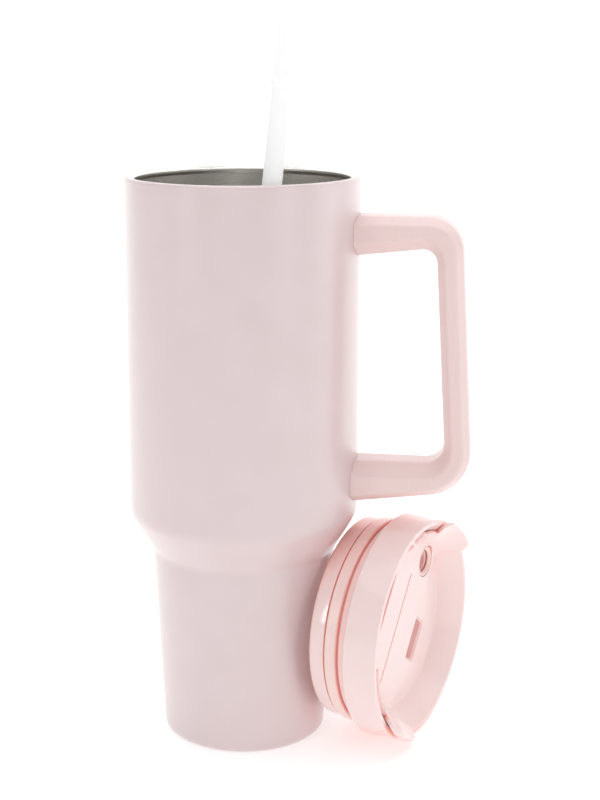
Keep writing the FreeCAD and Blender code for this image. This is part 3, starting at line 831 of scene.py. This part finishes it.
def wall_profile(degrees):
    """(r, z) rows that carry the wide side's ramp on up to the lip, or less far beside the ear."""
    start, end = NOTCH_ANGLES
    rise = min(max((degrees - start) / (end - start), LEAST_RISE), 1.0)
    root = Vector((RAMP_SHIFT + EAR_ROOT, EAR_ROOT))
    lip = Vector((RAMP_LIP_RADIUS, RAMP_TOP))
    return [root.lerp(lip, rise * k / WALL_ROWS) for k in range(1, WALL_ROWS + 1)]


def ear_profile():
    """(r, z) rows from the bend to the ear's tip."""
    root = Vector((RAMP_SHIFT + EAR_ROOT, EAR_ROOT))
    tip = Vector((EAR_TIP_RADIUS, EAR_TOP))
    return [root.lerp(tip, k / EAR_ROWS) for k in range(1, EAR_ROWS + 1)]


def bar_side(r):
    """Angle of the bar's edge at a radius: straight, then flaring out to the ear's width."""
    straight = -math.degrees(math.asin(BAR_HALF_WIDTH / r))
    reach = min(max((r - FLARE_START) / (FLARE_END - FLARE_START), 0), 1)
    flare = EAR_ROOT_SIDES[0] + math.degrees(math.asin(BAR_HALF_WIDTH / FLARE_END))
    return straight + flare * reach ** FLARE_POWER


def wide_side(r):
    """Angle of the wide side's edge: straight along the plate, then round the bowl with the ramp."""
    return max(math.degrees(math.asin(COVER_WIDE_SIDE / r)), RAMP_WIDE_ANGLE)


def at_angle(row, degrees):
    """The point of an (r, z) row at an angle round the lid's axis."""
    angle = math.radians(degrees)
    return Vector((row.x * math.cos(angle), row.x * math.sin(angle), row.y))


def ear_side(r):
    """Angle where the columns under the ear end and those of the wide side begin."""
    return min(EAR_ROOT_SIDES[1], wide_side(r) * EAR_SHARE)


def end_columns():
    """Columns of points from the bar's edge to the wide side; the first of them go on up the ear."""
    ramp, ear = cover_profile(), ear_profile()
    columns = []
    for i in range(EAR_COLUMNS + 1):
        share = i / EAR_COLUMNS
        points = []
        for row in ramp:
            right = bar_side(row.x)
            points.append(at_angle(row, right + (ear_side(row.x) - right) * share))
        for k, row in enumerate(ear):
            points.append(at_angle(row, ear_angle(share, row, (k + 1) / len(ear))))
        columns.append(points)
    for i in range(1, WIDE_COLUMNS + 1):
        share = i / WIDE_COLUMNS
        points = []
        last = EAR_ROOT_SIDES[1] + (RAMP_WIDE_ANGLE - EAR_ROOT_SIDES[1]) * share
        for row in ramp + wall_profile(last):
            right = ear_side(row.x)
            points.append(at_angle(row, right + (wide_side(row.x) - right) * share))
        columns.append(points)
    return columns


def ear_angle(share, row, rise):
    """Angle of a point of the ear; its sides spread a little, and its upper corners pull in to a round."""
    ease = min(1.0, rise * 2.5)
    right = EAR_ROOT_SIDES[0] + (EAR_TIP_SIDES[0] - EAR_ROOT_SIDES[0]) * ease
    left = EAR_ROOT_SIDES[1] + (EAR_TIP_SIDES[1] - EAR_ROOT_SIDES[1]) * ease
    over = max(0.0, row.y - (EAR_TOP - EAR_CORNER)) / EAR_CORNER
    pull = math.degrees(EAR_CORNER * (1 - math.sqrt(max(0.0, 1 - over * over))) / row.x)
    right, left = right + pull, left - pull
    return right + (left - right) * share


def cover_sheet():
    """The cover's top face: both ends with their ears and the flat plate between them."""
    bm = bmesh.new()
    shared_rows = len(cover_profile())
    ends = {}
    for sign in (1, -1):
        columns = [[bm.verts.new((sign * p.x, p.y, p.z)) for p in points] for points in end_columns()]
        ends[sign] = columns
        for here, there in zip(columns, columns[1:]):
            beside_ear = len(here) != len(there)
            rows = shared_rows if beside_ear else len(here)
            for k in range(rows - 1):
                bm.faces.new((here[k], here[k + 1], there[k + 1], there[k]))
    spans = []
    for near, far in zip(ends[1], ends[-1]):
        start, stop = near[0].co, far[0].co
        inner = [bm.verts.new(start.lerp(stop, k / PLATE_STEPS)) for k in range(1, PLATE_STEPS)]
        spans.append([near[0]] + inner + [far[0]])
    for here, there in zip(spans, spans[1:]):
        for k in range(PLATE_STEPS):
            bm.faces.new((here[k], here[k + 1], there[k + 1], there[k]))
    return bm


def cover_cutters():
    """The straw hole, the seat of its soft ring and the crease along the plate."""
    hole = disc_outline(COVER_HOLE_RADIUS, STRAW_HOLE_OFFSET)
    seat = disc_outline(GROMMET_SEAT_RADIUS, STRAW_HOLE_OFFSET)
    seat_rim = disc_outline(GROMMET_SEAT_RADIUS + 0.1, STRAW_HOLE_OFFSET)
    start, end = CREASE_ENDS
    near, far = CREASE_SIDES
    crease = [Vector((start, near)), Vector((end, near)), Vector((end, far)), Vector((start, far))]
    return [
        cutter(hole, hole, 3, 12),
        cutter(seat, seat_rim, GROMMET_SEAT, 9),
        cutter(crease, crease, COVER_TOP - CREASE_DEPTH, COVER_TOP + 1),
    ]


def cover():
    """The sheet with its wall, the hub under it, and the cuts."""
    obj = new_object("rotating_cover", cover_sheet())
    faces_up = obj.data.polygons[-1].normal.z > 0
    solid = obj.modifiers.new("wall", "SOLIDIFY")
    solid.thickness = COVER_THICKNESS * MM
    solid.offset = -1 if faces_up else 1
    solid.use_even_offset = True
    bake_modifiers(obj)
    hub = disc_outline(HUB_RADIUS, 0)
    add_to(obj, new_object("hub", prism_bmesh(hub, hub, HUB_LOW, HUB_HIGH)))
    cut_with(obj, cover_cutters())
    obj.data.transform(LID)
    obj.data.set_sharp_from_angle(angle=math.radians(40))
    soften_edges(obj, 0.3, 50.0)
    return dress(obj, LID_PLASTIC, "cover", "lid_plastic", "cover")


def grommet():
    """Soft ring in the cover's straw hole, its flange just under the plate's top."""
    top = COVER_TOP - 0.1
    corners = [
        (GROMMET_BORE, GROMMET_LOW, 0.2),
        (COVER_HOLE_RADIUS, GROMMET_LOW, 0.2),
        (COVER_HOLE_RADIUS, GROMMET_SEAT, 0),
        (GROMMET_FLANGE_RADIUS, GROMMET_SEAT, 0.1),
        (GROMMET_FLANGE_RADIUS, top, 0.3),
        (GROMMET_BORE + 1.1, top, 0.3),
        (GROMMET_BORE, GROMMET_LOW + 0.5, 0.2),
    ]
    place = LID @ Matrix.Translation((STRAW_HOLE_OFFSET * MM, 0, 0))
    obj = lathe("straw_hole_ring", corners, 96, place, step=15.0)
    return dress(obj, SILICONE, "cover", "silicone", "straw_grommet")


# Straw

def straw():
    """The tube and its stopper ring, along the axis on which the straw is pulled out."""
    joint = next(j for j in frame["joints"] if j["name"] == "straw_lift")
    axis = Vector(joint["axis"]).normalized()
    low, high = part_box("straw")
    tilt = axis.to_track_quat("Z", "Y").to_matrix().to_4x4()
    # The box's upper corner, less the reach of the tube's end each way, is the middle of that end
    top = Vector((high.x, low.y, high.z))
    reach = STRAW_RADIUS * MM
    top.x -= reach * math.sqrt(1 - axis.x ** 2)
    top.y += reach * math.sqrt(1 - axis.y ** 2)
    top.z -= reach * math.sqrt(1 - axis.z ** 2)
    foot = top - axis * STRAW_LENGTH * MM
    middle = STRAW_LENGTH - STOPPER_FROM_TOP
    corners = [
        (STRAW_BORE, 0, 0.2),
        (STRAW_RADIUS, 0, 0.3),
        (STRAW_RADIUS, middle - STOPPER_HALF_HEIGHT, 0.8),
        (STOPPER_RADIUS, middle - STOPPER_EDGE_HALF_HEIGHT, 0.5),
        (STOPPER_RADIUS, middle + STOPPER_EDGE_HALF_HEIGHT, 0.5),
        (STRAW_RADIUS, middle + STOPPER_HALF_HEIGHT, 0.8),
        (STRAW_RADIUS, STRAW_LENGTH, 0.3),
        (STRAW_BORE, STRAW_LENGTH, 0.2),
    ]
    obj = lathe("drinking_straw", corners, 64, Matrix.Translation(foot) @ tilt, step=10.0)
    return dress(obj, STRAW_PLASTIC, "straw", "straw_plastic", "straw")


# CAD nodes that stay as they are, most of them inside

def dress_cad_nodes():
    """Gives each CAD node that still shows the material of its slot."""
    finishes = {
        "steel": PRESSED_STEEL,
        "solder": SOLDER,
        "lid_plastic": LID_PLASTIC,
        "silicone": SILICONE,
        "handle_plastic": HANDLE_PLASTIC,
    }
    slots = {part["node"]: part["material_slot"] for part in frame["record"]["subparts"]}
    for name, node in frame["nodes"].items():
        if node.hide_render:
            continue
        node.data.materials.clear()
        node.data.materials.append(finishes[slots[name]])


# Studio

def sweep():
    """Pale floor that curves up into a backdrop behind the object."""
    profile = [
        (-FLOOR_REACH, 0, 0),
        (BACKDROP_DISTANCE, 0, BACKDROP_BEND),
        (BACKDROP_DISTANCE, BACKDROP_HEIGHT, 0),
    ]
    points = rounded(profile, 4.0, closed=False)
    bm = bmesh.new()
    sides = [[bm.verts.new((x, p.x, p.y)) for p in points] for x in (-FLOOR_REACH, FLOOR_REACH)]
    for k in range(len(points) - 1):
        bm.faces.new((sides[0][k], sides[1][k], sides[1][k + 1], sides[0][k + 1]))
    obj = new_object("floor_sweep", bm)
    shader = Shader("floor", Roughness=0.7, Specular_IOR_Level=0.2)
    patch = shader.ramp(shader.noise(3, 2), 0.0, 1.0)
    shader.drive("Base Color", shader.mix(patch, (0.66, 0.66, 0.66), (0.675, 0.675, 0.675)))
    shader.principled.inputs["Emission Color"].default_value = (1.0, 1.0, 1.0, 1.0)
    shader.principled.inputs["Emission Strength"].default_value = 0.50
    obj.data.materials.append(shader.material)


def area_light(name, place, target, size, power):
    """A white soft box at a place, facing a target; metres and watts."""
    data = bpy.data.lights.new(name, "AREA")
    data.shape = "RECTANGLE"
    data.size, data.size_y = size
    data.energy = power
    light = bpy.data.objects.new(name, data)
    bpy.context.scene.collection.objects.link(light)
    light.location = place
    aim = Vector(target) - Vector(place)
    light.rotation_euler = aim.to_track_quat("-Z", "Y").to_euler()


def studio():
    """Even world light, soft boxes round the object, and two that light the floor behind it."""
    world = bpy.data.worlds.new("studio")
    world.use_nodes = True
    background = world.node_tree.nodes["Background"]
    background.inputs["Color"].default_value = (1.0, 1.0, 1.0, 1.0)
    background.inputs["Strength"].default_value = 0.36
    bpy.context.scene.world = world
    area_light("left_strip", (-0.85, -0.95, 0.45), (0, 0, 0.12), (0.05, 0.5), 0.9)
    area_light("right_strip", (0.95, -0.75, 0.5), (0, 0, 0.12), (0.06, 0.6), 1.2)
    area_light("right_box", (1.1, 0.15, 0.5), (0, 0, 0.14), (0.6, 1.0), 1.4)
    area_light("left_box", (-1.1, -0.2, 0.5), (0, 0, 0.14), (0.5, 0.9), 0.5)
    area_light("front_box", (-0.1, -1.5, 0.6), (0.02, 0, 0.12), (1.0, 0.8), 1.9)
    area_light("overhead", (0.0, -0.3, 1.3), (0.0, 0.0, 0.1), (1.2, 1.2), 5.0)
    area_light("backdrop_light", (0.0, 0.0, 1.9), (0, 0.9, 0.4), (2.4, 0.5), 6)
    area_light("far_light", (0.0, 1.3, 2.2), (0, 3.4, 0.0), (5.0, 0.6), 80)
    bpy.context.scene.view_settings.view_transform = "Standard"


def camera():
    """Looks slightly down at the cup from its front, a little to the right."""
    data = bpy.data.cameras.new("camera")
    data.lens = 68.46
    data.shift_x = 0.0706
    data.clip_end = 50
    obj = bpy.data.objects.new("camera", data)
    bpy.context.scene.collection.objects.link(obj)
    obj.location = CAMERA_PLACE
    turn = Matrix.Rotation(math.radians(CAMERA_AZIMUTH), 4, "Z")
    turn @= Matrix.Rotation(math.radians(90 + CAMERA_PITCH), 4, "X")
    turn @= Matrix.Rotation(math.radians(CAMERA_ROLL), 4, "Z")
    obj.rotation_euler = turn.to_euler()
    bpy.context.scene.camera = obj


cup_shell()
base_plate()
cup_liner()
handle_loop()
handle_strip()
lid_bowl()
lid_plug()
lid_gasket()
port_ring()
cover()
grommet()
straw()
dress_cad_nodes()
sweep()
studio()
camera()
